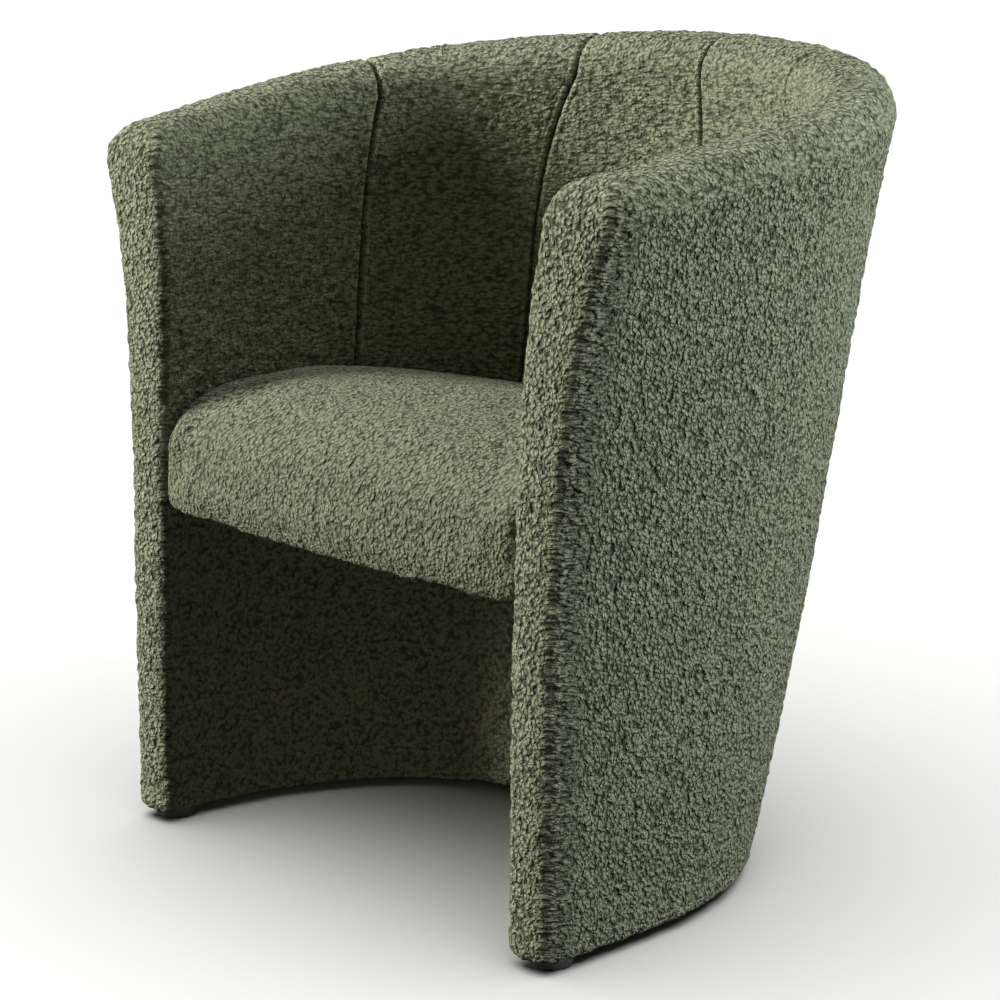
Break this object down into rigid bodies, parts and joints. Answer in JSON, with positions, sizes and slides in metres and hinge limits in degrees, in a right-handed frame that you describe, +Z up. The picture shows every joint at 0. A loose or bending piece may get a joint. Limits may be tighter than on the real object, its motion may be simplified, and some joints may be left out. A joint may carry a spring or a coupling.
{
  "type": "club chair",
  "caption": "Low tub-shaped club chair, fully upholstered in looped cloth, with arms and back in one sweep and a tight sprung seat over a curved recess.",
  "frame": {"origin": "middle of the chair's footprint box, on the floor", "axes": "+Z up, -Y towards the front of the seat, +X towards the left of someone who sits in it"},
  "size_m": [0.7136, 0.59, 0.7557],
  "materials": {
    "plywood": "matte",
    "beech": "matte",
    "hardboard": "matte",
    "steel": "satin",
    "felt": "matte",
    "wadding": "matte",
    "foam": "matte",
    "boucle": "matte",
    "lining": "matte",
    "glide_plastic": "satin"
  },
  "bodies": {
    "root": {"base_rib": "plywood", "seat_rib": "plywood", "rim_rib": "plywood", "arm_former_left": "plywood", "arm_former_right": "plywood", "side_former_left": "plywood", "side_former_right": "plywood", "rear_former_left": "plywood", "rear_former_right": "plywood", "back_former": "plywood", "front_rail": "beech", "side_rail_left": "beech", "side_rail_right": "beech", "back_rail": "beech", "corner_blocks": "beech", "seat_deck": "plywood", "seat_springs": "steel", "spring_clips": "steel", "spring_felt": "felt", "outer_board": "hardboard", "inner_board": "hardboard", "alcove_board": "hardboard", "outer_wadding": "wadding", "back_foam": "foam", "rim_foam": "foam", "arm_pad_left": "foam", "arm_pad_right": "foam", "front_roll": "foam", "seat_foam": "foam", "outer_cover": "boucle", "inner_cover": "boucle", "arm_facing_left": "boucle", "arm_facing_right": "boucle", "alcove_cover": "boucle", "seat_cover": "boucle", "seat_lining": "lining", "base_lining": "lining", "glide_front_left": "glide_plastic", "glide_front_right": "glide_plastic", "glide_rear_left": "glide_plastic", "glide_rear_right": "glide_plastic", "glide_screws": "steel", "frame_screws": "steel", "rail_screws": "steel"}
  },
  "joints": []
}
